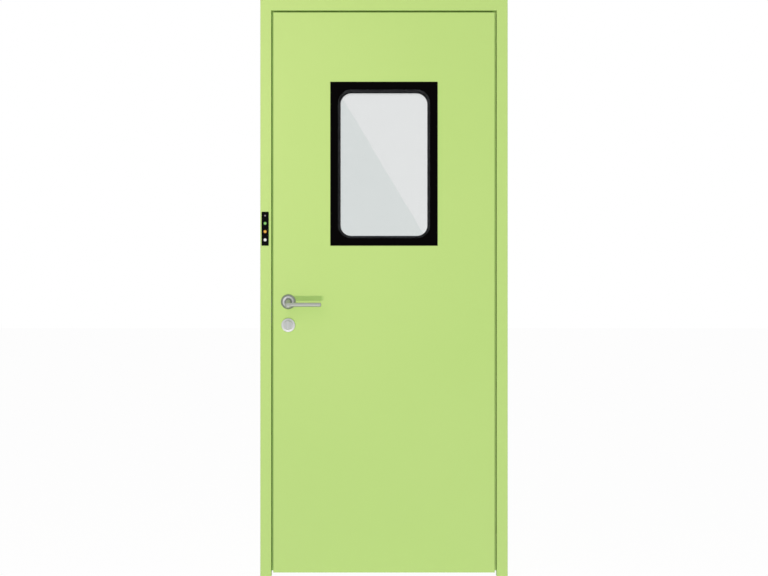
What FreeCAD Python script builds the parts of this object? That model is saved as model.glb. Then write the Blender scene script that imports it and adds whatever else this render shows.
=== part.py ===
"""Steel utility door: a flush rebated leaf in a tubular steel frame, opening away from the viewer."""
import FreeCAD, Part
import math
import os

os.makedirs("parts", exist_ok=True)
V = FreeCAD.Vector

# All sizes are in mm. X runs right, Y runs away from the viewer, Z runs up from the floor.
# The door is drawn about its own middle, with its front face on Y = 0, and moved at the end.
frame_width = 900.0
frame_height = 2100.0
frame_depth = 50.0
frame_face = 40.0  # what shows of the frame from the front
frame_wall = 1.5
bend_radius = 2.0
groove = 7.0  # running gap between frame and leaf, all round
threshold_gap = 15.0  # clear height under the leaf

# The rebate: the leaf's lip stands past its body and closes behind the frame's stop.
lip_width = 14.0
lip_thickness = 14.0
stop_gap = 6.0  # room for the gasket between the stop and the lip
gasket_width = 7.0
gasket_clearance = 0.5

# Leaf
skin = 1.0
pane_width = 390.0
pane_drop = 253.0  # from the leaf's top edge down to the window
pane_rise = 204.0  # from the lever's spindle up to the window
pane_thickness = 5.0
pane_clearance = 0.5
seal_thickness = 1.0
seal_border = 27.0  # black band that shows through the glass
seal_corner = 48.0
spacer_border = 36.0
spacer_corner = 40.0
bottom_rail_height = 20.0

# Lock and handle
backset = 55.0
lever_height = 1000.0
lock_centres = 85.0  # from the lever's spindle down to the thumbturn
lock_depth_y = 15.0  # how far the lock lies behind the front face
lever_rose_radius = 27.0
lever_rose_rim = 7.0  # width of its bevelled rim
turn_rose_radius = 25.0
turn_rose_rim = 1.5
rose_thickness = 8.0
rose_edge = 2.5  # what stays straight below the widest rim
neck_radius = 9.0
lever_length = 121.0
lever_reach = 50.0  # from the leaf's face to the middle of the bar
lever_drop = 10.0
lever_crank = 3.0  # from the spindle's axis to the elbow, along the bar
bar_height = 14.5
bar_depth = 18.0
tip_radius = 4.5
elbow_radius = 11.5
spindle_side = 8.0
knob_radius = 17.4
knob_thickness = 7.0
grip_height = 7.5
grip_foot = 28.0
grip_crest = 2.4
bolt_throw = 20.0
bolt_height = 32.0
bolt_thickness = 12.0
latch_rise = 1.0  # above the lever's spindle
bolt_rise = 28.0  # above the thumbturn
case_margin = 22.0
faceplate_margin = 39.5
faceplate_width = 20.0
faceplate_thickness = 3.0

# Hinges
hinge_length = 100.0
hinge_inset = 250.0  # from the floor, and from the frame's top
knuckle_radius = 8.0
pin_radius = 4.0
plate_thickness = 3.0

# Indicator strip on the lock jamb
strip_width = 26.0
strip_height = 123.0
strip_inset = 4.75  # from the frame's outer edge
lamp_radius = 6.0
sensor_radius = 3.5
lamp_levels = {"white_lens": 21.0, "amber_lens": 51.0, "green_lens": 81.0}
sensor_level = 109.0

# Levels and edges that follow from these
half_frame = frame_width / 2
stop_face = frame_depth - lip_thickness - stop_gap
lip_front = frame_depth - lip_thickness
half_leaf = half_frame - frame_face - groove
leaf_bottom = threshold_gap
leaf_top = frame_height - frame_face - groove
half_lip = half_leaf + lip_width
lip_top = leaf_top + lip_width
flange_face = half_frame - half_lip - groove
pane_top = leaf_top - pane_drop
pane_bottom = lever_height + pane_rise
turn_height = lever_height - lock_centres
latch_height = lever_height + latch_rise
bolt_level = turn_height + bolt_rise
hinge_levels = {"lower": hinge_inset, "middle": frame_height / 2, "upper": frame_height - hinge_inset}
lock_x = -half_leaf + backset
knuckle_x = half_lip + groove / 2
knuckle_y = frame_depth + knuckle_radius + 1.0
origin = V(half_frame - frame_face / 2, frame_depth / 2, 0)


def rounded(points, radius):
    """A closed wire through the points with every corner rounded to the radius."""
    edges = []
    starts = []
    ends = []
    for i, corner in enumerate(points):
        before = (points[i - 1] - corner).normalize()
        after = (points[(i + 1) % len(points)] - corner).normalize()
        half = before.getAngle(after) / 2
        tangent = radius / math.tan(half)
        middle = (before + after).normalize() * (radius / math.sin(half) - radius)
        starts.append(corner + before * tangent)
        ends.append(corner + after * tangent)
        edges.append(Part.Arc(starts[-1], corner + middle, ends[-1]).toShape())
    for i in range(len(points)):
        j = (i + 1) % len(points)
        edges.append(Part.makeLine(ends[i], starts[j]))
    return Part.Wire(Part.__sortEdges__(edges))


def block(x, y, z):
    """A box between three pairs of limits."""
    return Part.makeBox(x[1] - x[0], y[1] - y[0], z[1] - z[0], V(x[0], y[0], z[0]))


def plate_y(x, y, z, corner):
    """A plate facing the viewer, with rounded corners."""
    points = [V(x[0], y[0], z[0]), V(x[1], y[0], z[0]), V(x[1], y[0], z[1]), V(x[0], y[0], z[1])]
    return Part.Face(rounded(points, corner)).extrude(V(0, y[1] - y[0], 0))


def plate_x(x, y, z, corner):
    """A plate facing sideways, with rounded corners."""
    points = [V(x[0], y[0], z[0]), V(x[0], y[1], z[0]), V(x[0], y[1], z[1]), V(x[0], y[0], z[1])]
    return Part.Face(rounded(points, corner)).extrude(V(x[1] - x[0], 0, 0))


def rod_y(radius, x, z, y):
    return Part.makeCylinder(radius, y[1] - y[0], V(x, y[0], z), V(0, 1, 0))


def mirrored(shape, y=frame_depth / 2):
    """The same piece on the leaf's other side."""
    return shape.mirror(V(0, y, 0), V(0, 1, 0))


def about(middle, size):
    return (middle - size / 2, middle + size / 2)


def save(name, shape):
    placed = shape.copy()
    placed.translate(-origin)
    placed.exportStep("parts/" + name + ".step")


# Frame: one closed tube section, bent with a stop, mitred at the head and standing on foot plates.
def tube_points(inset):
    """The section's corners, as distance from the frame's outer edge and depth."""
    return [
        (inset, inset),
        (frame_face - inset, inset),
        (frame_face - inset, stop_face - inset),
        (flange_face - inset, stop_face - inset),
        (flange_face - inset, frame_depth - inset),
        (inset, frame_depth - inset),
    ]


def jamb_wire(side, inset, radius):
    points = [V(side * (half_frame - u), y, 0) for u, y in tube_points(inset)]
    return rounded(points, radius)


inner_radius = bend_radius - frame_wall
up = V(0, 0, frame_height)
head_along = V(frame_width, 0, 0)


def mitre_wedge(side, above):
    """What a mitre takes: the part above it from a jamb, or the part outside it from the head."""
    reach = frame_face + 1
    corners = [
        V(side * (half_frame + 1), -1, frame_height + 1),
        V(side * (half_frame - reach), -1, frame_height - reach),
    ]
    if above:
        corners.append(V(side * (half_frame - reach), -1, frame_height + 1))
    else:
        corners.append(V(side * (half_frame + 1), -1, frame_height - reach))
    return Part.Face(Part.makePolygon(corners + corners[:1])).extrude(V(0, frame_depth + 2, 0))


def jamb(side):
    outer = Part.Face(jamb_wire(side, 0, bend_radius)).extrude(up)
    inner = Part.Face(jamb_wire(side, frame_wall, inner_radius)).extrude(up)
    return outer.cut(inner).cut(mitre_wedge(side, True))


def head_wire(inset, radius):
    points = [V(-half_frame, y, frame_height - u) for u, y in tube_points(inset)]
    return rounded(points, radius)


def head_tube():
    outer = Part.Face(head_wire(0, bend_radius)).extrude(head_along)
    inner = Part.Face(head_wire(frame_wall, inner_radius)).extrude(head_along)
    return outer.cut(inner).cut(mitre_wedge(-1, False)).cut(mitre_wedge(1, False))


def foot_plate(side):
    plate = Part.Face(jamb_wire(side, frame_wall, inner_radius)).extrude(V(0, 0, 4))
    hole = Part.makeCylinder(4.5, 6, V(side * (half_frame - frame_face / 2), 11, -1))
    return plate.cut(hole)


# Each jamb is anchored through its tube, with two fixings in the soffit that faces the leaf.
fixing_radius = 4.0
fixing_inset = 150.0
fixing_levels = (fixing_inset, frame_height - fixing_inset)
fixing_depth = stop_face / 2


def fixing_holes(side):
    start = side * (half_frame - frame_face - 1)
    rods = [
        Part.makeCylinder(fixing_radius, frame_face + 2, V(start, fixing_depth, z), V(side, 0, 0))
        for z in fixing_levels
    ]
    return Part.makeCompound(rods)


def gasket_points(u):
    base = u - gasket_width / 2
    return base, base + gasket_width


gasket_middle = frame_face - gasket_width / 2 - bend_radius - 0.5
gasket_near = gasket_middle - gasket_width / 2
gasket_far = gasket_middle + gasket_width / 2
gasket_tip = lip_front - gasket_clearance
gasket_shoulder = gasket_tip - gasket_width / 2


def gasket_face(place):
    """A bulb seal's section; place turns distance from the outer edge and depth into a point."""
    base = [place(gasket_near, gasket_shoulder), place(gasket_near, stop_face),
            place(gasket_far, stop_face), place(gasket_far, gasket_shoulder)]
    bulb = Part.Arc(base[3], place(gasket_middle, gasket_tip), base[0]).toShape()
    sides = [Part.makeLine(base[i], base[i + 1]) for i in range(3)]
    return Part.Face(Part.Wire(sides + [bulb]))


def side_gasket(side):
    face = gasket_face(lambda u, y: V(side * (half_frame - u), y, 0))
    return face.extrude(V(0, 0, frame_height - gasket_near))


def head_gasket():
    start = -half_frame + gasket_far
    face = gasket_face(lambda u, y: V(start, y, frame_height - u))
    return face.extrude(V(-2 * start, 0, 0))


# Strike: a plate flush in the lock jamb's soffit, with a dust box behind its two holes.
strike_x = -half_frame + frame_face
strike_range = (bolt_level - 45, latch_height + 45)
strike_hole_margin = 3.0


def strike_plate():
    width = about(lock_depth_y, faceplate_width + 2)
    plate = plate_x((strike_x - frame_wall, strike_x), width, strike_range, 5)
    for level in (bolt_level, latch_height):
        hole = plate_x((strike_x - 5, strike_x + 5),
                       about(lock_depth_y, bolt_thickness + 2 * strike_hole_margin),
                       about(level, bolt_height + 2 * strike_hole_margin), 2)
        plate = plate.cut(hole)
    return plate


def strike_pocket():
    width = about(lock_depth_y, faceplate_width + 2.6)
    return plate_x((strike_x - 4, strike_x + 1), width,
                   (strike_range[0] - 0.3, strike_range[1] + 0.3), 5.3)


def dust_box():
    back = strike_x - frame_wall
    depth = (back - bolt_throw - 2, back)
    width = about(lock_depth_y, faceplate_width)
    height = (bolt_level - bolt_height / 2 - 8, latch_height + bolt_height / 2 + 8)
    outer = block(depth, width, height)
    inner = block((depth[0] + 1, depth[1] + 1), (width[0] + 1, width[1] - 1),
                  (height[0] + 1, height[1] - 1))
    return outer.cut(inner)


# Indicator strip: a flat black housing let into the lock jamb, with three lamps and a sensor.
strip_x = -half_frame + strip_inset + strip_width / 2
strip_z = (pane_bottom, pane_bottom + strip_height)
strip_proud = 3.0
strip_depth = 12.0
strip_margin = 4.0  # the face laps the hole in the jamb by this much


def strip_body(clearance, front):
    """What stands inside the jamb, or with a clearance the hole for it."""
    margin = strip_margin - clearance
    return block(about(strip_x, strip_width - 2 * margin), (front, strip_depth),
                 (strip_z[0] + margin, strip_z[1] - margin))


def lamp_hole(level, radius):
    return rod_y(radius + 0.1, strip_x, strip_z[0] + level, (-strip_proud - 1, 6))


def indicator_housing():
    face = plate_y(about(strip_x, strip_width), (-strip_proud, 0), strip_z, 2)
    rim = [e for e in face.Edges if all(abs(v.Y + strip_proud) < 0.01 for v in e.Vertexes)]
    housing = face.makeFillet(0.8, rim).fuse(strip_body(0, 0))
    for level in lamp_levels.values():
        housing = housing.cut(lamp_hole(level, lamp_radius))
    return housing.cut(lamp_hole(sensor_level, sensor_radius)).removeSplitter()


def lamp_lens(level, radius):
    """A round lens with a shallow domed front, seated in the housing."""
    dome = radius / 4
    z = strip_z[0] + level
    sphere_radius = (radius ** 2 + dome ** 2) / (2 * dome)
    sphere = Part.makeSphere(sphere_radius, V(strip_x, sphere_radius - dome - strip_proud, z))
    return rod_y(radius, strip_x, z, (-strip_proud - dome, 6)).common(sphere)


# Hinges: two knuckles on the jamb's plate, one on the leaf's, standing clear behind the rear face.
def knuckle(z):
    return Part.makeCylinder(knuckle_radius, z[1] - z[0], V(knuckle_x, knuckle_y, z[0]))


def knuckle_spans(level):
    low = level - hinge_length / 2
    third = hinge_length / 3
    gap = 0.3
    return [(low + i * third + gap, low + (i + 1) * third - gap) for i in range(3)]


def hinge_half(level, side):
    """The half on the jamb (side 1) or on the leaf (side -1), with its plate on the rear face."""
    spans = knuckle_spans(level)
    own = spans[::2] if side > 0 else spans[1:2]
    others = spans[1:2] if side > 0 else spans[::2]
    inner = knuckle_x
    outer = half_frame - 3 if side > 0 else half_lip - 32
    y = (frame_depth, frame_depth + plate_thickness)
    plate = plate_y((min(inner, outer), max(inner, outer)), y, about(level, hinge_length), 3)
    bore = Part.makeCylinder(pin_radius + 0.1, hinge_length + 2,
                             V(knuckle_x, knuckle_y, level - hinge_length / 2 - 1))
    sweep = knuckle_radius + 1.5
    for z in others:
        clear = (z[0] - 0.6, z[1] + 0.6)
        plate = plate.cut(Part.makeCylinder(sweep, clear[1] - clear[0],
                                            V(knuckle_x, knuckle_y, clear[0])))
    half = plate
    for z in own:
        half = half.fuse(knuckle(z))
    return half.cut(bore).removeSplitter()


def hinge_pin(level):
    low = level - hinge_length / 2
    pin = Part.makeCylinder(pin_radius, hinge_length, V(knuckle_x, knuckle_y, low))
    for z, way in ((low, -1), (low + hinge_length, 1)):
        cap = Part.makeCylinder(knuckle_radius - 1, 3, V(knuckle_x, knuckle_y, z), V(0, 0, way))
        edge = [e for e in cap.Edges if all(abs(v.Z - z - way * 3) < 0.01 for v in e.Vertexes)
                and abs(e.CenterOfMass.z - z - way * 3) < 0.01]
        pin = pin.fuse(cap.makeFillet(1.5, edge))
    return pin.removeSplitter()


# Leaf: two folded skins over a filled core, with a lip bar round three edges.
window_cut_x = (-pane_width / 2 - pane_clearance, pane_width / 2 + pane_clearance)
window_cut_z = (pane_bottom - pane_clearance, pane_top + pane_clearance)
core_side = half_leaf - skin
core_top = leaf_top - skin
core_y = (skin, frame_depth - skin)


def edges_at(shape, test):
    return [e for e in shape.Edges if all(test(v.Point) for v in e.Vertexes)]


def hardware_holes():
    return Part.makeCompound([
        rod_y(12, lock_x, lever_height, (-1, frame_depth + 1)),
        rod_y(12, lock_x, turn_height, (-1, frame_depth + 1)),
    ])


def front_skin():
    outer = block((-half_leaf, half_leaf), (0, lip_front + skin), (leaf_bottom, leaf_top))
    front = edges_at(outer, lambda p: p.y < 0.01)
    outer = outer.makeFillet(bend_radius, [e for e in front if e.CenterOfMass.z > leaf_bottom + 1])
    inner = block((-core_side, core_side), (skin, frame_depth), (leaf_bottom - 1, core_top))
    window = block(window_cut_x, (-1, 5), window_cut_z)
    return outer.cut(inner).cut(window).cut(hardware_holes()).cut(faceplate_recess())


def rear_skin():
    outer = block((-half_lip, half_lip), (lip_front, frame_depth), (leaf_bottom, lip_top))
    rear = edges_at(outer, lambda p: p.y > frame_depth - 0.01)
    outer = outer.makeFillet(bend_radius, [e for e in rear if e.CenterOfMass.z > leaf_bottom + 1])
    inner = block((-half_lip + skin, half_lip - skin), (lip_front + skin, frame_depth - skin),
                  (leaf_bottom - 1, lip_top - skin))
    mouth = block((-half_leaf, half_leaf), (lip_front - 1, lip_front + 2), (leaf_bottom - 1, leaf_top))
    window = block(window_cut_x, (frame_depth - 5, frame_depth + 1), window_cut_z)
    return outer.cut(inner).cut(mouth).cut(window).cut(hardware_holes()).cut(cylinder_cut())


def lip_bar(x, z):
    return block(x, (lip_front + skin, frame_depth - skin), z)


def bottom_rail():
    outer = block((-core_side, core_side), core_y, (leaf_bottom, leaf_bottom + bottom_rail_height))
    inner = block((-core_side - 1, core_side + 1), (core_y[0] + 1.5, core_y[1] - 1.5),
                  (leaf_bottom + 1.5, leaf_bottom + bottom_rail_height + 1))
    return outer.cut(inner)


# Window: two flush panes on one black spacer, with a black band at each face.
def window_ring(y, border, corner):
    x = (-pane_width / 2, pane_width / 2)
    z = (pane_bottom, pane_top)
    hole = plate_y((x[0] + border, x[1] - border), (y[0] - 1, y[1] + 1),
                   (z[0] + border, z[1] - border), corner)
    return plate_y(x, y, z, 2).cut(hole)


def pane(y):
    return plate_y((-pane_width / 2, pane_width / 2), y, (pane_bottom, pane_top), 2)


# Lock: a mortise case behind a faceplate in the leaf's edge.
case_x = (-half_leaf + faceplate_thickness, lock_x + 22)
case_y = about(lock_depth_y, 16)
case_z = (turn_height - case_margin - 10, latch_height + bolt_height / 2 + case_margin)
faceplate_z = (case_z[0] - faceplate_margin, case_z[1] + faceplate_margin)


def faceplate_recess():
    return plate_x((-half_leaf - 1, -half_leaf + faceplate_thickness),
                   about(lock_depth_y, faceplate_width + 0.6),
                   (faceplate_z[0] - 0.3, faceplate_z[1] + 0.3), faceplate_width / 2)


def bolt_hole(level, clearance):
    return block((-half_leaf - 1, -half_leaf + faceplate_thickness + 3),
                 about(lock_depth_y, bolt_thickness + 2 * clearance),
                 about(level, bolt_height + 2 * clearance))


def lock_faceplate():
    plate = plate_x((-half_leaf, -half_leaf + faceplate_thickness),
                    about(lock_depth_y, faceplate_width), faceplate_z, faceplate_width / 2 - 0.1)
    return plate.cut(bolt_hole(bolt_level, 0.3)).cut(bolt_hole(latch_height, 0.3))


def lock_case():
    wall = 1.5
    outer = block(case_x, case_y, case_z)
    inner = block((case_x[0] + wall, case_x[1] - wall), (case_y[0] + wall, case_y[1] - wall),
                  (case_z[0] + wall, case_z[1] - wall))
    case = outer.cut(inner)
    for level in (bolt_level, latch_height):
        case = case.cut(bolt_hole(level, 0.3))
    case = case.cut(rod_y(6.5, lock_x, lever_height, (0, frame_depth)))
    return case.cut(rod_y(9.5, lock_x, turn_height, (0, frame_depth)))


def bolt(level, tail):
    """A bolt held flush with the faceplate."""
    return block((-half_leaf + 0.5, -half_leaf + tail), about(lock_depth_y, bolt_thickness),
                 about(level, bolt_height))


def rose(z, radius, rim, bore):
    """A round cover with a bevelled rim on the front face."""
    bevel = min(rim, rose_thickness - rose_edge)
    foot = rod_y(radius, lock_x, z, (bevel - rose_thickness, 0))
    crown = Part.makeCone(radius, radius - rim, bevel, V(lock_x, bevel - rose_thickness, z), V(0, -1, 0))
    return foot.fuse(crown).removeSplitter().cut(rod_y(bore, lock_x, z, (-rose_thickness - 1, 1)))


def front_lever():
    """A cranked lever: a flared neck, a ball elbow and an oval bar with a soft end."""
    elbow_x = lock_x + lever_crank
    elbow_y = -lever_reach
    bar_z = lever_height - lever_drop
    collar = rod_y(neck_radius, lock_x, lever_height, (-rose_thickness - 6, -1))
    root = Part.Wire(Part.makeCircle(neck_radius, V(lock_x, -rose_thickness - 6, lever_height), V(0, 1, 0)))
    throat = Part.Wire(Part.makeCircle(elbow_radius - 1, V(elbow_x, elbow_y, bar_z), V(0, 1, 0)))
    neck = Part.makeLoft([root, throat], True)
    elbow = Part.makeSphere(elbow_radius, V(elbow_x, elbow_y, bar_z))
    elbow.rotate(V(elbow_x, elbow_y, bar_z), V(0, 0, 1), 180)
    bar = plate_x((elbow_x, lock_x + lever_length), about(elbow_y, bar_depth),
                  about(bar_z, bar_height), bar_height / 2 - 0.01)
    tip = [e for e in bar.Edges if abs(e.CenterOfMass.x - lock_x - lever_length) < 0.01]
    bar = bar.makeFillet(tip_radius, tip)
    lever = collar.fuse([neck, elbow, bar]).removeSplitter()
    return lever.cut(spindle_bar(0.1))


spindle_y = (-rose_thickness - 22, frame_depth + rose_thickness + 22)


def spindle_bar(clearance):
    side = spindle_side + 2 * clearance
    return block(about(lock_x, side), (spindle_y[0] - clearance, spindle_y[1] + clearance),
                 about(lever_height, side))


def thumbturn():
    """A round knob with two flanks that meet in an upright crest, on a stem into the lock."""
    back = -rose_thickness - 0.6
    front = back - knob_thickness
    disc = rod_y(knob_radius, lock_x, turn_height, (front, back))
    rim = [e for e in disc.Edges if len(e.Vertexes) == 1 and abs(e.CenterOfMass.y - front) < 0.01]
    disc = disc.makeFillet(1.5, rim)
    crest = front - grip_height
    section = [V(lock_x - grip_foot / 2, front, 0), V(lock_x + grip_foot / 2, front, 0),
               V(lock_x + grip_crest / 2, crest, 0), V(lock_x - grip_crest / 2, crest, 0)]
    grip = Part.Face(Part.makePolygon(section + section[:1])).extrude(V(0, 0, 2 * knob_radius))
    grip.translate(V(0, 0, turn_height - knob_radius))
    grip = grip.common(rod_y(knob_radius - 1.5, lock_x, turn_height, (crest - 1, back)))
    stem = rod_y(5, lock_x, turn_height, (back - 1, lock_depth_y + 6))
    return disc.fuse([grip, stem]).removeSplitter()


def key_cylinder():
    """A profile cylinder from the rear, with its keyway."""
    y = (lock_depth_y + 9, frame_depth + rose_thickness + 1)
    barrel = rod_y(8.5, lock_x, turn_height, y)
    lug = block(about(lock_x, 10), y, (turn_height - 19.5, turn_height))
    foot = rod_y(5, lock_x, turn_height - 19.5, y)
    keyway = block(about(lock_x, 2.4), (y[1] - 18, y[1] + 1), about(turn_height, 9))
    return barrel.fuse([lug, foot]).removeSplitter().cut(keyway)


def cylinder_cut():
    y = (lock_depth_y + 7, frame_depth + rose_thickness + 2)
    barrel = rod_y(9, lock_x, turn_height, y)
    lug = block(about(lock_x, 11), y, (turn_height - 19.5, turn_height))
    return barrel.fuse([lug, rod_y(5.5, lock_x, turn_height - 19.5, y)])


def lock_pocket():
    """The room in the core for the case, its spindle and its cylinder."""
    slot = block((-half_leaf - 1, -half_leaf + faceplate_thickness),
                 about(lock_depth_y, faceplate_width + 1), (faceplate_z[0] - 1, faceplate_z[1] + 1))
    room = block((-half_leaf - 1, case_x[1] + 1), about(lock_depth_y, 18),
                 (case_z[0] - 1, case_z[1] + 1))
    return room.fuse([slot, hardware_holes(), cylinder_cut()])


# Write every piece.
save("hinge_jamb", jamb(1).cut(fixing_holes(1)))
lock_jamb = jamb(-1).cut(fixing_holes(-1)).cut(strike_pocket()).cut(strip_body(0.3, -1))
save("lock_jamb", lock_jamb)
save("frame_head", head_tube())
save("hinge_foot_plate", foot_plate(1))
save("lock_foot_plate", foot_plate(-1))
save("hinge_side_gasket", side_gasket(1))
save("lock_side_gasket", side_gasket(-1))
save("head_gasket", head_gasket())
save("strike_plate", strike_plate())
save("strike_dust_box", dust_box())

save("indicator_housing", indicator_housing())
for name, level in lamp_levels.items():
    save(name, lamp_lens(level, lamp_radius))
save("sensor_lens", lamp_lens(sensor_level, sensor_radius))

for name, level in hinge_levels.items():
    save(name + "_hinge_jamb_half", hinge_half(level, 1))
    save(name + "_hinge_leaf_half", hinge_half(level, -1))
    save(name + "_hinge_pin", hinge_pin(level))

save("front_skin", front_skin())
save("rear_skin", rear_skin())
save("lock_side_lip", lip_bar((-half_lip + skin, -core_side), (leaf_bottom, lip_top - skin)))
save("hinge_side_lip", lip_bar((core_side, half_lip - skin), (leaf_bottom, lip_top - skin)))
save("top_lip", lip_bar((-core_side, core_side), (core_top, lip_top - skin)))
save("bottom_rail", bottom_rail())
core_foot = leaf_bottom + bottom_rail_height
save("core_below", block((-core_side, core_side), core_y, (core_foot, window_cut_z[0])).cut(lock_pocket()))
save("core_lock_side", block((-core_side, window_cut_x[0]), core_y, window_cut_z).cut(lock_pocket()))
save("core_hinge_side", block((window_cut_x[1], core_side), core_y, window_cut_z))
save("core_above", block((-core_side, core_side), core_y, (window_cut_z[1], core_top)))

inner_y = pane_thickness + seal_thickness
save("front_pane", pane((0, pane_thickness)))
save("rear_pane", pane((frame_depth - pane_thickness, frame_depth)))
save("front_seal", window_ring((pane_thickness, inner_y), seal_border, seal_corner))
save("rear_seal", mirrored(window_ring((pane_thickness, inner_y), seal_border, seal_corner)))
save("window_spacer", window_ring((inner_y, frame_depth - inner_y), spacer_border, spacer_corner))

save("lock_case", lock_case())
save("lock_faceplate", lock_faceplate())
save("latch_bolt", bolt(latch_height, 40))
lever_rose = rose(lever_height, lever_rose_radius, lever_rose_rim, neck_radius + 0.3)
save("front_lever_rose", lever_rose)
save("rear_lever_rose", mirrored(lever_rose))
save("turn_rose", rose(turn_height, turn_rose_radius, turn_rose_rim, 5.3))
save("cylinder_rose", mirrored(rose(turn_height, lever_rose_radius, turn_rose_rim, 3)).cut(cylinder_cut()))
save("key_cylinder", key_cylinder())

save("spindle", spindle_bar(0))
save("front_lever", front_lever())
save("rear_lever", mirrored(front_lever()))
save("thumbturn", thumbturn())
save("deadbolt", bolt(bolt_level, 57))
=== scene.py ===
"""Steel utility door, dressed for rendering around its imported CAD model."""
import math
import bpy
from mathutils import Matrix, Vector


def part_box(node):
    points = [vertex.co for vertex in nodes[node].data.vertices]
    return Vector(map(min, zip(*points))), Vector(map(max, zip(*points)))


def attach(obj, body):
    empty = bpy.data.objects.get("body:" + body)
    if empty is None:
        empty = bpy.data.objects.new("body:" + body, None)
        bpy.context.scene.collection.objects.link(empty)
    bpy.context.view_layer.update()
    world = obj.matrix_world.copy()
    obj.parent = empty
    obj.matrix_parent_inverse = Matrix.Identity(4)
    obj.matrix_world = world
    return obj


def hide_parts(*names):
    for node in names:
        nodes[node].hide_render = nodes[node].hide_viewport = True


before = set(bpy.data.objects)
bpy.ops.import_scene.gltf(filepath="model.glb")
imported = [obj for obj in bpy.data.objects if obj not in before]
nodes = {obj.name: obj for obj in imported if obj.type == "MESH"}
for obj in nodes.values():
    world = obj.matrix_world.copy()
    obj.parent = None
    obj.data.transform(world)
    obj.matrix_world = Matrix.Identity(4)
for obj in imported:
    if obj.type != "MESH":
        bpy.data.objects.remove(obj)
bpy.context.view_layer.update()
bpy.ops.object.select_all(action="DESELECT")


# The frame: three lengths of closed steel tube, mitred and welded at the head, the welds ground flush.
# Frame and leaf share one satin polyester powder coat, baked on over primer. Its fine orange peel
# softens the highlights, and a slow drift in film thickness keeps the flat faces from looking dead.
def linear(code):
    """An sRGB hex colour as linear red, green, blue and alpha."""
    channels = [int(code[i:i + 2], 16) / 255 for i in (1, 3, 5)]
    return tuple(c / 12.92 if c <= 0.04045 else ((c + 0.055) / 1.055) ** 2.4 for c in channels) + (1.0,)


def add(tree, kind, links=None, **settings):
    """Adds a node: settings go on the node, and links fill its sockets with a value or another socket."""
    node = tree.nodes.new("ShaderNode" + kind)
    for name, value in settings.items():
        setattr(node, name, value)
    for socket, value in (links or {}).items():
        if isinstance(value, bpy.types.NodeSocket):
            tree.links.new(value, node.inputs[socket])
        else:
            node.inputs[socket].default_value = value
    return node


def start_material(name):
    """A material with an empty tree, and the piece's own coordinates in it."""
    material = bpy.data.materials.new(name)
    material.use_nodes = True
    tree = material.node_tree
    tree.nodes.clear()
    return material, tree, add(tree, "TexCoord").outputs["Object"]


def finish_cad(material, *names):
    """Gives CAD nodes their material."""
    for name in names:
        mesh = nodes[name].data
        mesh.materials.clear()
        mesh.materials.append(material)


powder_coat, tree, place = start_material("satin_powder_coat_green")
drift = add(tree, "TexNoise", {"Vector": place, "Scale": 1.7, "Detail": 2.0})  # clouds 0.6 m across
tone = add(tree, "Mix", {"Factor": drift.outputs["Fac"], "A": linear("#ACD56F"), "B": linear("#B1D775")},
           data_type="RGBA")
peel = add(tree, "TexNoise", {"Vector": place, "Scale": 400.0, "Detail": 1.5})  # 2.5 mm orange peel
patches = add(tree, "TexNoise", {"Vector": place, "Scale": 45.0, "Detail": 3.0})  # 22 mm patches
gloss = add(tree, "MapRange", {"Value": patches.outputs["Fac"], "To Min": 0.40, "To Max": 0.50})
relief = add(tree, "Bump", {"Height": peel.outputs["Fac"], "Strength": 0.35, "Distance": 0.00004})
shader = add(tree, "BsdfPrincipled", {"Base Color": tone.outputs["Result"],
                                      "Roughness": gloss.outputs["Result"],
                                      "Specular IOR Level": 0.5, "Normal": relief.outputs["Normal"]})
add(tree, "OutputMaterial", {"Surface": shader.outputs["BSDF"]})
finish_cad(powder_coat, "hinge_jamb", "lock_jamb", "frame_head", "front_skin", "rear_skin")


# The bulb seals in the frame's stop: extruded thermoplastic rubber, grey, pressed into the stop's corner.
# Matt, with faint draw lines along the extrusion and a dusty bloom.
rubber, tree, place = start_material("extruded_tpe_rubber")
stretch = add(tree, "Mapping", {"Vector": place, "Scale": (1.0, 1.0, 0.02)})
lines = add(tree, "TexNoise", {"Vector": stretch.outputs["Vector"], "Scale": 900.0, "Detail": 2.0})  # 1.1 mm
bloom = add(tree, "TexNoise", {"Vector": place, "Scale": 30.0, "Detail": 4.0})  # 33 mm blotches
tone = add(tree, "Mix", {"Factor": bloom.outputs["Fac"], "A": linear("#5E605F"), "B": linear("#6E706F")},
           data_type="RGBA")
relief = add(tree, "Bump", {"Height": lines.outputs["Fac"], "Strength": 0.4, "Distance": 0.0001})
shader = add(tree, "BsdfPrincipled", {"Base Color": tone.outputs["Result"], "Roughness": 0.8,
                                      "Normal": relief.outputs["Normal"]})
add(tree, "OutputMaterial", {"Surface": shader.outputs["BSDF"]})
finish_cad(rubber, "hinge_side_gasket", "lock_side_gasket", "head_gasket")


# Foot plates, lock case, dust box, edge strips and bottom rail: galvanised steel sheet, left bare where
# no one looks. The zinc shows its spangle, flat crystals some 6 mm across, each a slightly other grey.
zinc, tree, place = start_material("galvanised_steel")
spangle = add(tree, "TexVoronoi", {"Vector": place, "Scale": 160.0})
crystal = add(tree, "SeparateColor", {"Color": spangle.outputs["Color"]})
tone = add(tree, "Mix", {"Factor": crystal.outputs["Red"], "A": linear("#8F9395"), "B": linear("#B4B7B8")},
           data_type="RGBA")
gloss = add(tree, "MapRange", {"Value": crystal.outputs["Green"], "To Min": 0.30, "To Max": 0.48})
relief = add(tree, "Bump", {"Height": crystal.outputs["Blue"], "Strength": 0.15, "Distance": 0.0001})
shader = add(tree, "BsdfPrincipled", {"Base Color": tone.outputs["Result"], "Metallic": 1.0,
                                      "Roughness": gloss.outputs["Result"],
                                      "Normal": relief.outputs["Normal"]})
add(tree, "OutputMaterial", {"Surface": shader.outputs["BSDF"]})
finish_cad(zinc, "hinge_foot_plate", "lock_foot_plate", "strike_dust_box", "lock_case", "spindle",
           "lock_side_lip", "hinge_side_lip", "top_lip", "bottom_rail")


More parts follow.
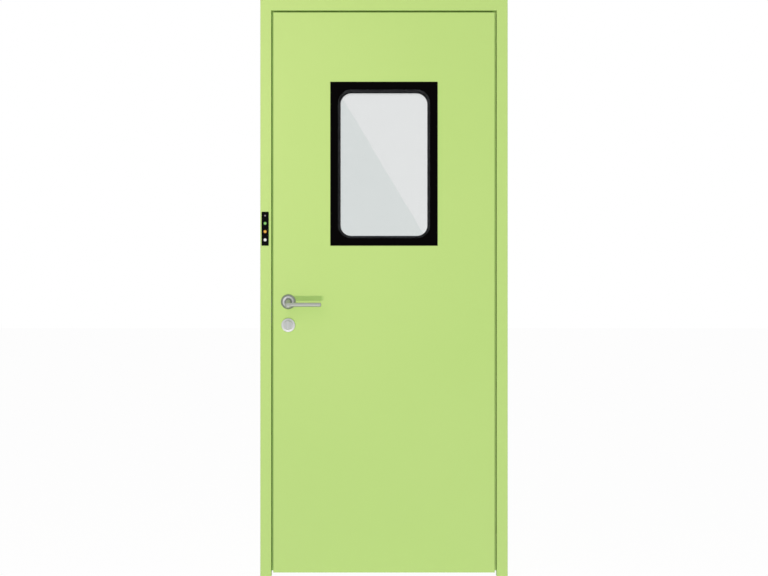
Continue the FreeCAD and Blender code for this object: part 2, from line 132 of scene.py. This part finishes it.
# Hinges, strike, faceplate, bolts and roses: stainless steel, satin brushed with a belt. Fine scratches run
# one way, so a highlight spreads across them, and the grain shows as faint streaks close up. They are
# drawn 0.5 mm wide, coarser than the belt's grit, or they wouldn't show.
def brushed(name, light, dark, grain, rough):
    """Satin stainless steel; grain stretches the scratches, small along the brushing."""
    material, tree, place = start_material(name)
    along = add(tree, "Mapping", {"Vector": place, "Scale": grain})
    scratches = add(tree, "TexNoise", {"Vector": along.outputs["Vector"], "Scale": 2200.0, "Detail": 3.0})
    handling = add(tree, "TexNoise", {"Vector": place, "Scale": 55.0, "Detail": 4.0})  # 18 mm smears
    tone = add(tree, "Mix", {"Factor": scratches.outputs["Fac"], "A": linear(dark), "B": linear(light)},
               data_type="RGBA")
    gloss = add(tree, "MapRange", {"Value": handling.outputs["Fac"], "To Min": rough - 0.05,
                                   "To Max": rough + 0.07})
    relief = add(tree, "Bump", {"Height": scratches.outputs["Fac"], "Strength": 0.25, "Distance": 0.00003})
    shader = add(tree, "BsdfPrincipled", {"Base Color": tone.outputs["Result"], "Metallic": 1.0,
                                          "Anisotropic": 0.3, "Roughness": gloss.outputs["Result"],
                                          "Normal": relief.outputs["Normal"]})
    add(tree, "OutputMaterial", {"Surface": shader.outputs["BSDF"]})
    return material


upright_grain = brushed("stainless_brushed_upright", "#CCCBCC", "#B9B8BB", (1.0, 1.0, 0.03), 0.34)
hinge_levels = ("lower", "middle", "upper")
hinge_names = [f"{level}_hinge_{half}" for level in hinge_levels
               for half in ("jamb_half", "leaf_half", "pin")]
finish_cad(upright_grain, "strike_plate", "lock_faceplate", "latch_bolt", "deadbolt", *hinge_names)


# Countersunk screws with a cross recess hold the hinges, the strike and the faceplate: stainless steel,
# turned, so bright on the face. The recess and the rim get painted shade, near black and not metallic.
# They stand 0.2 mm proud of their plates.
def alone(piece):
    """Selects one piece and nothing else."""
    bpy.ops.object.select_all(action="DESELECT")
    piece.select_set(True)
    bpy.context.view_layer.objects.active = piece


def edit(piece, mode="VERT"):
    """Opens a piece for editing, with all of it selected."""
    alone(piece)
    bpy.ops.object.mode_set(mode="EDIT")
    bpy.ops.mesh.select_mode(type=mode)
    bpy.ops.mesh.select_all(action="SELECT")


def turned(name, radius, steps, sides=48):
    """A turned piece standing on Z = 0: its top is drawn up to each (height, radius) in millimetres.

    A step of a neck that leans also has its shift in X and in Y.
    """
    bpy.ops.object.select_all(action="DESELECT")
    bpy.ops.mesh.primitive_circle_add(vertices=sides, radius=radius / 1000, fill_type="NGON")
    piece = bpy.context.object
    piece.name = piece.data.name = name
    edit(piece, "FACE")
    height = 0
    for level, wide, *lean in steps:
        x, y = lean or (0, 0)
        rise = (x / 1000, y / 1000, (level - height) / 1000)
        bpy.ops.mesh.extrude_region_move(TRANSFORM_OT_translate={"value": rise})
        bpy.ops.transform.resize(value=(wide / radius, wide / radius, 1))
        height = level
        radius = wide
    bpy.ops.mesh.select_all(action="SELECT")
    bpy.ops.mesh.normals_make_consistent(inside=False)
    bpy.ops.object.mode_set(mode="OBJECT")
    return piece


def settle(piece, place, turn):
    """Turns and moves a piece, and applies both to its mesh."""
    alone(piece)
    piece.location = place
    piece.rotation_euler = turn
    bpy.ops.object.transform_apply(location=True, rotation=True, scale=True)
    return piece


def repeat(piece, name, place, turn=(0, 0, 0)):
    """A copy of a piece, with its own mesh, turned and moved into place."""
    alone(piece)
    bpy.ops.object.duplicate(linked=False)
    copy = bpy.context.object
    copy.name = copy.data.name = name
    return settle(copy, place, turn)


def carve(piece, cutter, operation="DIFFERENCE"):
    """Cuts one piece with another, which is used up."""
    alone(piece)
    cut = piece.modifiers.new("cut", "BOOLEAN")
    cut.object = cutter
    cut.operation = operation
    cut.solver = "EXACT"
    bpy.ops.object.modifier_apply(modifier="cut")
    bpy.data.objects.remove(cutter)


def bar(name, size, place=(0, 0, 0)):
    """A block of a size in millimetres, about a place in metres."""
    bpy.ops.object.select_all(action="DESELECT")
    bpy.ops.mesh.primitive_cube_add(size=1, location=place, scale=[s / 1000 for s in size])
    piece = bpy.context.object
    piece.name = piece.data.name = name
    bpy.ops.object.transform_apply(location=True, rotation=True, scale=True)
    return piece


def joined(name, pieces):
    """Several pieces made one."""
    bpy.ops.object.select_all(action="DESELECT")
    for piece in pieces:
        piece.select_set(True)
    bpy.context.view_layer.objects.active = pieces[0]
    bpy.ops.object.join()
    pieces[0].name = pieces[0].data.name = name
    return pieces[0]


def dress(piece, material, body):
    """Gives a finished piece its material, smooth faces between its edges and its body."""
    piece.data.materials.clear()
    piece.data.materials.append(material)
    alone(piece)
    bpy.ops.object.shade_smooth_by_angle(angle=math.radians(35))
    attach(piece, body)


turned_steel, tree, place = start_material("stainless_turned_screw")
tarnish = add(tree, "TexNoise", {"Vector": place, "Scale": 700.0, "Detail": 3.0})  # 1.4 mm specks
metal = add(tree, "Mix", {"Factor": tarnish.outputs["Fac"], "A": linear("#8E8E90"), "B": linear("#A9A9AB")},
            data_type="RGBA")
# painted shade: the marked faces in the recess and round the rim turn near black and lose their metal
painted_shade = add(tree, "Attribute", attribute_name="painted_shade")
tone = add(tree, "Mix", {"Factor": painted_shade.outputs["Fac"], "A": metal.outputs["Result"],
                         "B": linear("#161615")}, data_type="RGBA")
bare = add(tree, "Math", {0: 1.0, 1: painted_shade.outputs["Fac"]}, operation="SUBTRACT")
relief = add(tree, "Bump", {"Height": tarnish.outputs["Fac"], "Strength": 0.2, "Distance": 0.00002})
shader = add(tree, "BsdfPrincipled", {"Base Color": tone.outputs["Result"], "Roughness": 0.36,
                                      "Metallic": bare.outputs["Value"],
                                      "Normal": relief.outputs["Normal"]})
add(tree, "OutputMaterial", {"Surface": shader.outputs["BSDF"]})

screw = turned("screw_head", 3.2, [(0.75, 4.1), (0.95, 3.9), (1.05, 3.0)], 32)
recess = (0, 0, 0.00138)  # the middle of each slot's cutter, which goes 0.17 mm into the face
carve(screw, bar("slot", (4.4, 1.0, 1.0), recess))
carve(screw, bar("slot", (1.0, 4.4, 1.0), recess))
# marks the faces in the cross recess and round the rim for the painted shade
shade_faces = screw.data.attributes.new("painted_shade", "FLOAT", "FACE")
recess_reach = 0.0025
recess_levels = (0.0005, 0.00104)
rim_reach = 0.0038
for face in screw.data.polygons:
    reach = math.hypot(face.center.x, face.center.y)
    in_recess = reach < recess_reach and recess_levels[0] < face.center.z < recess_levels[1]
    shade_faces.data[face.index].value = float(in_recess or reach > rim_reach)

sunk = 0.00085  # of the head's 1.05 mm
hinge_sheet = 0.003
hinge_screws = {"frame": [], "leaf": []}
for level in hinge_levels:
    for half, body, inset in (("jamb_half", "frame", 0.009), ("leaf_half", "leaf", 0.010)):
        low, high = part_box(f"{level}_hinge_{half}")
        x = high.x - inset if body == "frame" else low.x + inset
        for rise in (-0.038, -0.013, 0.013, 0.038):
            spot = (x, low.y + hinge_sheet - sunk, (low.z + high.z) / 2 + rise)
            spin = len(hinge_screws[body]) * 0.7  # no two recesses stop at the same angle
            hinge_screws[body].append(repeat(screw, "hinge_screw", spot, (-math.pi / 2, spin, 0)))
for body, screws in hinge_screws.items():
    dress(joined(f"hinge_screws_{body}", screws), turned_steel, body)

from_end = 0.011
for plate, body, way in (("strike_plate", "frame", 1), ("lock_faceplate", "leaf", -1)):
    low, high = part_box(plate)
    face = high.x if way > 0 else low.x
    pair = []
    for z in (low.z + from_end, high.z - from_end):
        spot = (face - way * sunk, (low.y + high.y) / 2, z)
        pair.append(repeat(screw, "edge_screw", spot, (0, way * math.pi / 2, 0)))
    dress(joined(plate + "_screws", pair), turned_steel, body)
bpy.data.objects.remove(screw)


# Thin nylon washers between the knuckles keep steel off steel, so the hinge neither squeaks nor wears.
# Off-white when new, here dark grey and waxy, with grease at the edge.
nylon, tree, place = start_material("nylon_washer")
grease = add(tree, "TexNoise", {"Vector": place, "Scale": 300.0, "Detail": 2.0})  # 3 mm smears
tone = add(tree, "Mix", {"Factor": grease.outputs["Fac"], "A": linear("#3B3C3D"), "B": linear("#57585A")},
           data_type="RGBA")
shader = add(tree, "BsdfPrincipled", {"Base Color": tone.outputs["Result"], "Roughness": 0.35})
add(tree, "OutputMaterial", {"Surface": shader.outputs["BSDF"]})

washer = turned("washer", 7.4, [(0.1, 7.7), (0.4, 7.7), (0.5, 7.4)], 40)
half_thick = 0.00025
knuckle = 0.1 / 3  # three to the 100 mm pin
washers = []
for level in hinge_levels:
    low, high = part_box(f"{level}_hinge_pin")
    middle = (low + high) / 2
    for rise in (-knuckle / 2, knuckle / 2):
        washers.append(repeat(washer, "washer", (middle.x, middle.y, middle.z + rise - half_thick)))
bpy.data.objects.remove(washer)
dress(joined("hinge_washers", washers), nylon, "frame")


# Frame fixings: once the anchors are tight, a press-in plastic cap hides each hole in the soffit.
# Moulded polypropylene coloured to match the paint, a little glossier, with a soft domed face.
cap_plastic, tree, place = start_material("moulded_cap_green")
swirl = add(tree, "TexNoise", {"Vector": place, "Scale": 160.0, "Detail": 2.0})  # 6 mm flow marks
tone = add(tree, "Mix", {"Factor": swirl.outputs["Fac"], "A": linear("#B3D07C"), "B": linear("#BBD886")},
           data_type="RGBA")
shader = add(tree, "BsdfPrincipled", {"Base Color": tone.outputs["Result"], "Roughness": 0.32})
add(tree, "OutputMaterial", {"Surface": shader.outputs["BSDF"]})

stem_length = 1.6  # mm, in the hole
cap = turned("cap", 3.9, [(stem_length, 3.9), (stem_length, 6.2), (2.0, 6.2), (2.4, 5.6), (2.6, 4.2)], 40)
cap_to_end = 0.150
cap_to_front = 0.015
caps = []
for jamb, way in (("hinge_jamb", -1), ("lock_jamb", 1)):
    low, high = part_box(jamb)
    face = low.x if way < 0 else high.x
    for z in (cap_to_end, high.z - cap_to_end):
        spot = (face - way * stem_length / 1000, low.y + cap_to_front, z)
        caps.append(repeat(cap, "cap", spot, (0, way * math.pi / 2, 0)))
bpy.data.objects.remove(cap)
dress(joined("fixing_caps", caps), cap_plastic, "frame")


# The indicator strip: a black ABS housing snapped into the lock jamb, with green, amber and white lamps
# and a small smoked sensor. Spark-eroded grain keeps the housing matt beside the glossy lenses, and is
# drawn at 0.4 mm, coarser than the mould's, or it wouldn't show. The sensor is no lamp, yet its lens
# glows dim mauve-grey at the middle like the lamps' lenses: a painted glow.
abs_black, tree, place = start_material("moulded_abs_black")
grain = add(tree, "TexNoise", {"Vector": place, "Scale": 2500.0, "Detail": 2.0})
tone = add(tree, "Mix", {"Factor": grain.outputs["Fac"], "A": linear("#050505"), "B": linear("#090909")},
           data_type="RGBA")
relief = add(tree, "Bump", {"Height": grain.outputs["Fac"], "Strength": 0.2, "Distance": 0.00003})
shader = add(tree, "BsdfPrincipled", {"Base Color": tone.outputs["Result"], "Roughness": 0.6,
                                      "Specular IOR Level": 0.03, "Normal": relief.outputs["Normal"]})
add(tree, "OutputMaterial", {"Surface": shader.outputs["BSDF"]})
finish_cad(abs_black, "indicator_housing")


def pick(piece, mode, wanted):
    """Opens a piece with only those faces or edges selected that are wanted."""
    edit(piece, mode)
    bpy.ops.mesh.select_all(action="DESELECT")
    bpy.ops.object.mode_set(mode="OBJECT")
    for part in piece.data.polygons if mode == "FACE" else piece.data.edges:
        part.select = wanted(part)
    bpy.ops.object.mode_set(mode="EDIT")


lens_glow_colours = {
    "green_lens": ("#98DE78", "#2C5A20"),
    "amber_lens": ("#FFC452", "#8E5A18"),
    "white_lens": ("#FFFFFC", "#8C8C8A"),
    # the sensor is no lamp: its glow is painted light
    "sensor_lens": ("#A8999C", "#2E2A2C"),
}
housing_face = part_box("indicator_housing")[0].y
bezels = []
for name, (bright, dim) in lens_glow_colours.items():
    low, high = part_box(name)
    middle = (low + high) / 2
    radius = (high.x - low.x) / 2
    lit, tree, place = start_material("lit_lens_" + name.split("_")[0])
    centred = add(tree, "Mapping", {"Vector": place, "Location": -middle}, vector_type="POINT")
    away = add(tree, "VectorMath", {0: centred.outputs["Vector"], 1: (1.0, 0.0, 1.0)}, operation="MULTIPLY")
    reach = add(tree, "VectorMath", {0: away.outputs["Vector"]}, operation="LENGTH")
    falloff = add(tree, "MapRange", {"Value": reach.outputs["Value"], "From Min": radius * 0.25,
                                     "From Max": radius * 1.05})
    glow = add(tree, "Mix", {"Factor": falloff.outputs["Result"], "A": linear(bright), "B": linear(dim)},
               data_type="RGBA")
    shader = add(tree, "BsdfPrincipled", {"Base Color": linear("#101010"), "Roughness": 0.12,
                                          "Specular IOR Level": 0.2,
                                          "Emission Color": glow.outputs["Result"],
                                          "Emission Strength": 1.0})
    add(tree, "OutputMaterial", {"Surface": shader.outputs["BSDF"]})
    finish_cad(lit, name)

    bore = radius * 1000
    ring = turned("bezel", bore + 0.9, [(0.35, bore + 0.9), (0.6, bore + 0.6), (0.6, bore + 0.25),
                                        (0.1, bore + 0.05)], 40)
    settle(ring, (middle.x, housing_face, middle.z), (math.pi / 2, 0, 0))
    pick(ring, "FACE", lambda face: len(face.vertices) > 4)
    bpy.ops.mesh.bridge_edge_loops()
    bpy.ops.object.mode_set(mode="OBJECT")
    bezels.append(ring)
dress(joined("lamp_bezels", bezels), abs_black, "frame")


# Inside the leaf: resin-filled honeycomb board, glued between the skins, that shows only in the lock's
# bores. Kraft brown, with its cells as a faint 12 mm pattern.
board, tree, place = start_material("honeycomb_core_board")
cells = add(tree, "TexVoronoi", {"Vector": place, "Scale": 83.0}, feature="DISTANCE_TO_EDGE")
edges = add(tree, "MapRange", {"Value": cells.outputs["Distance"], "From Max": 0.06})
tone = add(tree, "Mix", {"Factor": edges.outputs["Result"], "A": linear("#A58F66"), "B": linear("#CDB88E")},
           data_type="RGBA")
shader = add(tree, "BsdfPrincipled", {"Base Color": tone.outputs["Result"], "Roughness": 0.9})
add(tree, "OutputMaterial", {"Surface": shader.outputs["BSDF"]})
finish_cad(board, "core_below", "core_lock_side", "core_hinge_side", "core_above")


# The window: two panes of float glass, flush with the skins, with faint 170 mm waves. The front one is
# coated against glare, and its index is lowered to stand for the coating, so the black parts behind it
# stay black. The rear one's index is raised, until it mirrors the room as brightly as in the photograph.
for name, index in (("front_pane", 1.04), ("rear_pane", 1.75)):
    glass, tree, place = start_material("float_glass_" + name.split("_")[0])
    wave = add(tree, "TexNoise", {"Vector": place, "Scale": 6.0, "Detail": 1.0})
    relief = add(tree, "Bump", {"Height": wave.outputs["Fac"], "Strength": 0.1, "Distance": 0.0002})
    shader = add(tree, "BsdfPrincipled", {"Base Color": linear("#F0F1F1"), "Roughness": 0.0,
                                          "IOR": index, "Transmission Weight": 1.0,
                                          "Normal": relief.outputs["Normal"]})
    add(tree, "OutputMaterial", {"Surface": shader.outputs["BSDF"]})
    finish_cad(glass, name)


# Round each pane runs a black band, screen printed in ceramic enamel on its outer face and fired in. It
# hides the spacer and the sealant, and is dead matt, with the slightest speckle of frit, drawn 0.7 mm
# across, or it wouldn't show.
enamel, tree, place = start_material("ceramic_enamel_black")
frit = add(tree, "TexNoise", {"Vector": place, "Scale": 1500.0, "Detail": 2.0})
tone = add(tree, "Mix", {"Factor": frit.outputs["Fac"], "A": linear("#030303"), "B": linear("#070606")},
           data_type="RGBA")
relief = add(tree, "Bump", {"Height": frit.outputs["Fac"], "Strength": 0.15, "Distance": 0.00002})
shader = add(tree, "BsdfPrincipled", {"Base Color": tone.outputs["Result"], "Roughness": 0.85,
                                      "Specular IOR Level": 0.02, "Normal": relief.outputs["Normal"]})
add(tree, "OutputMaterial", {"Surface": shader.outputs["BSDF"]})
finish_cad(enamel, "front_seal", "rear_seal")


def length_along(piece, line, axis):
    """How far an edge reaches along an axis."""
    a, b = (piece.data.vertices[i].co[axis] for i in line.vertices)
    return abs(a - b)


def rounded_slab(name, low, high, corner):
    """A slab facing the viewer, between two points in metres, its four corners rounded by so many mm."""
    middle = (Vector(low) + Vector(high)) / 2
    piece = bar(name, [(b - a) * 1000 for a, b in zip(low, high)], middle)
    thick = high[1] - low[1]
    pick(piece, "EDGE", lambda line: length_along(piece, line, 1) > thick / 2)
    bpy.ops.mesh.bevel(offset=corner / 1000, segments=24, affect="EDGES")
    bpy.ops.object.mode_set(mode="OBJECT")
    return piece


band_width = 0.027
band_faces = (0.00005, 0.0003)  # its inner and outer face, from the pane
overlap = 0.001  # of the hole's cutter, past each face
for side, way in (("front", -1), ("rear", 1)):
    low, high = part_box(side + "_pane")
    pane = low.y if way < 0 else high.y
    near, far = sorted(pane + way * level for level in band_faces)
    band = rounded_slab(side + "_band", (low.x, near, low.z), (high.x, far, high.z), corner=2.0)
    hole = rounded_slab("hole", (low.x + band_width, near - overlap, low.z + band_width),
                        (high.x - band_width, far + overlap, high.z - band_width), corner=48.0)
    carve(band, hole)
    dress(band, enamel, "leaf")


# The spacer frame between the panes: a black anodised aluminium box, its corners bent, with a row of
# breathing holes to the desiccant inside. It shows through the glass as a dark grey soffit.
spacer, tree, place = start_material("anodised_spacer_black")
mist = add(tree, "TexNoise", {"Vector": place, "Scale": 120.0, "Detail": 3.0})  # 8 mm clouds
tone = add(tree, "Mix", {"Factor": mist.outputs["Fac"], "A": linear("#39393B"), "B": linear("#414143")},
           data_type="RGBA")
holes = add(tree, "TexVoronoi", {"Vector": place, "Scale": 125.0, "Randomness": 0.0})  # 8 mm apart
rims = add(tree, "MapRange", {"Value": holes.outputs["Distance"], "From Min": 0.06, "From Max": 0.10})
relief = add(tree, "Bump", {"Height": rims.outputs["Result"], "Strength": 0.3, "Distance": 0.0002})
shader = add(tree, "BsdfPrincipled", {"Base Color": tone.outputs["Result"], "Roughness": 0.9,
                                      "Specular IOR Level": 0.0, "Normal": relief.outputs["Normal"]})
add(tree, "OutputMaterial", {"Surface": shader.outputs["BSDF"]})
finish_cad(spacer, "window_spacer")


# The roses: pressed stainless covers, screwed on from behind, that hide the lever's and the thumbturn's
# bearings. The lever's rose has a broad bevelled rim and a groove round its neck, both in a darker steel:
# a painted dark reflection on the rim's bevel, and painted shade in the groove.
# a darker steel for the painted dark reflection on the rim's bevel and the painted shade in the neck's
# groove
painted_dark_steel = brushed("stainless_rim_painted_dark", "#969B95", "#868B85", (1.0, 1.0, 1.0), 0.42)
spun_face = brushed("stainless_spun_face", "#D1D2D1", "#C6C7C6", (1.0, 1.0, 1.0), 0.48)


def rose_place(node, outward):
    """Where the middle of a rose's back goes, and the turn that makes it face front or rear."""
    low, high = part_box(node)
    middle = (low + high) / 2
    back = high.y if outward < 0 else low.y
    return Vector((middle.x, back, middle.z)), (-outward * math.pi / 2, 0, 0)


lever_rose = turned("lever_rose", 27.0, [(2.2, 27.0), (2.8, 26.6), (7.4, 20.5), (7.9, 19.7), (8.0, 18.9),
                                         (8.0, 13.4), (7.5, 12.6), (4.8, 12.0), (4.8, 9.4), (0.2, 9.4)], 96)
bevel_starts = 0.0194
groove_reach = 0.0124
groove_top = 0.0072
for node, outward, name in (("front_lever_rose", -1, "rose_front_lever"),
                            ("rear_lever_rose", 1, "rose_rear_lever")):
    spot, turn = rose_place(node, outward)
    piece = repeat(lever_rose, name, spot, turn)
    dress(piece, spun_face, "leaf")
    piece.data.materials.append(painted_dark_steel)
    for face in piece.data.polygons:
        reach = math.hypot(face.center.x - spot.x, face.center.z - spot.z)
        height = abs(face.center.y - spot.y)
        # the bevelled rim and the groove round the neck take the darker steel: painted reflection and
        # painted shade
        if reach > bevel_starts or (reach < groove_reach and height < groove_top):
            face.material_index = 1
    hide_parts(node)
bpy.data.objects.remove(lever_rose)

turn_rose = turned("turn_rose_cover", 24.7, [(1.0, 25.0), (6.5, 25.0), (7.3, 24.7), (7.8, 24.1), (8.0, 23.3),
                                             (8.0, 6.0), (7.0, 5.6), (0.2, 5.6)], 96)
spot, turn = rose_place("turn_rose", -1)
rose = repeat(turn_rose, "rose_thumbturn", spot, turn)
dress(rose, spun_face, "leaf")
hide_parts("turn_rose")
bpy.data.objects.remove(turn_rose)
finish_cad(spun_face, "cylinder_rose")


# The levers: cast stainless steel, a flared neck that runs down to a round elbow, and a straight oval bar
# with a soft end. The casting is blended and satin polished all over, so no joint shows.
satin_lever = brushed("stainless_satin_lever", "#B4B8AF", "#A9ADA4", (0.05, 1.0, 1.0), 0.55)


def melted(piece, voxel, rounds):
    """Runs a piece's parts together into one skin, of a voxel size in mm, and softens its corners."""
    skin = piece.modifiers.new("skin", "REMESH")
    skin.mode = "VOXEL"
    skin.voxel_size = voxel / 1000
    soften = piece.modifiers.new("soften", "SMOOTH")
    soften.factor = 0.5
    soften.iterations = rounds
    alone(piece)
    bpy.ops.object.modifier_apply(modifier="skin")
    bpy.ops.object.modifier_apply(modifier="soften")
    return piece


def cast_lever(name):
    """The front lever about its spindle, lying with its bar along X and its neck standing up Z."""
    neck = turned("neck", 9.0, [(8.0, 9.0), (14.0, 9.1), (20.0, 9.3, 0.2, -1.0), (25.0, 9.7, 0.6, -2.7),
                                (30.0, 10.2, 0.7, -2.7), (35.0, 10.9, 0.7, -2.5), (40.0, 11.5, 0.5, -1.9),
                                (46.0, 12.1, 0.3, -1.2), (52.0, 12.0), (56.5, 10.4), (59.3, 7.6),
                                (60.6, 4.0)])
    grip = bar("grip", (118.5, 14.7, 18.0), (0.06225, -0.0103, 0.0500))
    pick(grip, "EDGE", lambda line: length_along(grip, line, 0) > 0.1)
    bpy.ops.mesh.bevel(offset=0.0055, segments=8, affect="EDGES")
    bpy.ops.object.mode_set(mode="OBJECT")
    pick(grip, "FACE", lambda face: face.center.x > 0.121)
    bpy.ops.mesh.bevel(offset=0.0035, segments=5, affect="EDGES")
    bpy.ops.object.mode_set(mode="OBJECT")
    return melted(joined(name, [neck, grip]), voxel=0.7, rounds=6)


master = cast_lever("lever")
low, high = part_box("front_lever_rose")
axis = (low + high) / 2
hub = (axis.x, high.y + 0.001, axis.z)
front = repeat(master, "lever_front", hub, (math.pi / 2, 0, 0))
dress(front, satin_lever, "handle")
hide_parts("front_lever")

rear = repeat(master, "lever_rear", hub, (math.pi / 2, 0, 0))
edit(rear)
bpy.ops.transform.mirror(orient_type="GLOBAL", constraint_axis=(False, True, False),
                         center_override=(0, 0, 0))
bpy.ops.mesh.normals_make_consistent(inside=False)
bpy.ops.object.mode_set(mode="OBJECT")
dress(rear, satin_lever, "handle")
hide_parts("rear_lever")
bpy.data.objects.remove(master)


# The thumbturn: a turned stainless knob whose face is milled into two flanks, meeting in an upright
# crest that the thumb and finger hold. It stands off its rose by 0.6 mm, and is brighter from use.
handled_knob = brushed("stainless_handled_knob", "#C9CBC9", "#BFC1BF", (1.0, 1.0, 1.0), 0.42)
knob = turned("knob", 16.9, [(0.5, 17.4), (6.2, 17.4), (6.8, 17.0), (7.0, 16.4)], 72)
ridge = bar("ridge", (28.0, 33.0, 8.0), (0, 0, 0.0105))
pick(ridge, "FACE", lambda face: face.normal.z > 0.9)
bpy.ops.transform.resize(value=(0.085, 1, 1))
bpy.ops.object.mode_set(mode="OBJECT")
carve(ridge, turned("keep", 16.0, [(30.0, 16.0)], 72), "INTERSECT")
knob = melted(joined("thumbturn_knob", [knob, ridge]), voxel=0.4, rounds=4)
stem = turned("stem", 4.9, [(24.0, 4.9)], 32)

low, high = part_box("turn_rose")
middle = (low + high) / 2
stand_off = 0.0006
stem_depth = 0.022
settle(knob, (middle.x, low.y - stand_off, middle.z), (math.pi / 2, 0, 0))
settle(stem, (middle.x, low.y + stem_depth, middle.z), (math.pi / 2, 0, 0))
knob = joined("thumbturn_knob", [knob, stem])
dress(knob, handled_knob, "turn")
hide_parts("thumbturn")


# The profile cylinder at the rear: nickel plated brass, with a round plug that carries the keyway.
# The plating is bright and slightly warm beside the stainless steel.
nickel, tree, place = start_material("nickel_plated_brass")
wear = add(tree, "TexNoise", {"Vector": place, "Scale": 240.0, "Detail": 4.0})  # 4 mm rubbed spots
tone = add(tree, "Mix", {"Factor": wear.outputs["Fac"], "A": linear("#B5B1A6"), "B": linear("#CBC7BC")},
           data_type="RGBA")
gloss = add(tree, "MapRange", {"Value": wear.outputs["Fac"], "To Min": 0.2, "To Max": 0.34})
shader = add(tree, "BsdfPrincipled", {"Base Color": tone.outputs["Result"], "Metallic": 1.0,
                                      "Roughness": gloss.outputs["Result"]})
add(tree, "OutputMaterial", {"Surface": shader.outputs["BSDF"]})
finish_cad(nickel, "key_cylinder")

low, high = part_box("key_cylinder")
plug = turned("cylinder_plug", 6.6, [(0.35, 6.6), (0.6, 6.2), (0.6, 1.4)])
carve(plug, bar("keyway", (2.2, 8.6, 4.0)))
barrel_radius = 0.0085
seated = 0.0001  # the plug's foot, inside the cylinder's end
settle(plug, (low.x + barrel_radius, high.y - seated, high.z - barrel_radius), (-math.pi / 2, 0, 0))
dress(plug, nickel, "leaf")


# The studio: a pale floor that keeps the door's soft shadow, and a white surround that metal and glass
# mirror too. A grey-green card behind the camera, seen only in reflections, draws the slanting edge that
# the photograph shows in the window.
def seen_directly(tree):
    """1 for what the camera sees, also in metal and through glass, and 0 for what lights the door."""
    path = add(tree, "LightPath")
    seen = add(tree, "Math", {0: path.outputs["Is Camera Ray"], 1: path.outputs["Is Glossy Ray"]},
               operation="MAXIMUM")
    seen = add(tree, "Math", {0: seen.outputs["Value"], 1: path.outputs["Is Transmission Ray"]},
               operation="MAXIMUM")
    return seen.outputs["Value"]


ground, tree, place = start_material("studio_floor")
share = add(tree, "MapRange", {"Value": seen_directly(tree), "To Min": 0.1, "To Max": 0.88})
matt = add(tree, "BsdfDiffuse", {"Color": linear("#F4F4F2")})
white = add(tree, "Emission", {"Color": linear("#FFFFFF"), "Strength": 1.06})
blend = add(tree, "MixShader", {0: share.outputs["Result"], 1: matt.outputs["BSDF"],
                                2: white.outputs["Emission"]})
add(tree, "OutputMaterial", {"Surface": blend.outputs["Shader"]})
door_middle = (-0.43, 0, 1.05)
bpy.ops.object.select_all(action="DESELECT")
bpy.ops.mesh.primitive_plane_add(size=60, location=(door_middle[0], 0, 0))
floor = bpy.context.object
floor.name = "studio_floor"
floor.data.materials.append(ground)
floor.visible_shadow = False  # the low lights below shine through it, as from a pit in the studio floor

card_grey, tree, place = start_material("studio_card")
flat = add(tree, "Emission", {"Color": linear("#76AB9F"), "Strength": 1.0})
add(tree, "OutputMaterial", {"Surface": flat.outputs["Emission"]})
bpy.ops.object.select_all(action="DESELECT")
bpy.ops.mesh.primitive_plane_add(size=1)
card = bpy.context.object
card.scale = (1.8, 0.9, 1)
slant = math.radians(59.3)  # its long edge, mirrored, crosses the window from upper left to lower right
settle(card, (-0.821, -6.0, 1.812), (math.pi / 2, slant, 0))
card.name = "studio_card"
card.data.materials.append(card_grey)
card.visible_camera = False
card.visible_diffuse = False
card.visible_shadow = False

world = bpy.data.worlds.new("studio")
bpy.context.scene.world = world
world.use_nodes = True
tree = world.node_tree
tree.nodes.clear()
level = add(tree, "MapRange", {"Value": seen_directly(tree), "To Min": 0.40, "To Max": 1.0})
sky = add(tree, "Background", {"Color": linear("#FFFFFF"), "Strength": level.outputs["Result"]})
add(tree, "OutputWorld", {"Surface": sky.outputs["Background"]})


# The lights: a distant rosy key from low on the left throws the lever's green shadow up to the right, and
# a fill behind the camera opens the door's gaps. Most light the paint only, so nothing burns out in metal.
def studio_light(name, kind, spot, target, power, colour, mirrored, **shape):
    """A light at a spot, turned to a target; a mirrored one also shows in metal and glass."""
    light = bpy.data.lights.new(name, kind)
    light.energy = power
    light.color = colour
    for setting, value in shape.items():
        setattr(light, setting, value)
    lamp = bpy.data.objects.new(name, light)
    lamp.location = spot
    lamp.rotation_euler = (Vector(target) - Vector(spot)).to_track_quat("-Z", "Y").to_euler()
    lamp.visible_camera = False
    lamp.visible_glossy = mirrored
    lamp.visible_transmission = mirrored
    bpy.context.scene.collection.objects.link(lamp)


studio_light("low_key", "SUN", (-1.13, -5.0, -1.25), door_middle, 0.82, (1.0, 0.50, 1.0), False,
             angle=math.radians(3))
studio_light("low_gleam", "SUN", (-0.43, -5.0, -1.25), door_middle, 0.62, (1.0, 0.88, 1.0), True,
             angle=math.radians(3))
studio_light("left_box", "AREA", (-1.15, -1.2, 1.75), (-0.85, 0, 1.7), 4.4, (1.0, 0.58, 1.0), False,
             shape="RECTANGLE", size=0.8, size_y=1.2)
studio_light("camera_fill", "AREA", (-0.43, -5.2, 1.05), door_middle, 59.0, (0.82, 1.0, 0.85), False,
             size=0.6)
studio_light("rear_fill", "SUN", (1.2, 5.0, 1.6), door_middle, 1.9, (1.0, 0.8, 1.0), False,
             angle=math.radians(20))

lens = bpy.data.cameras.new("photo")
lens.sensor_width = 36.0
lens.lens = 62.5
camera = bpy.data.objects.new("photo", lens)
camera.location = (-0.430, -4.875, 1.05)  # straight before the door's middle, where 3.64 mm fill a pixel
camera.rotation_euler = (math.pi / 2, 0, 0)
bpy.context.scene.collection.objects.link(camera)
bpy.context.scene.camera = camera
bpy.context.scene.view_settings.view_transform = "Standard"
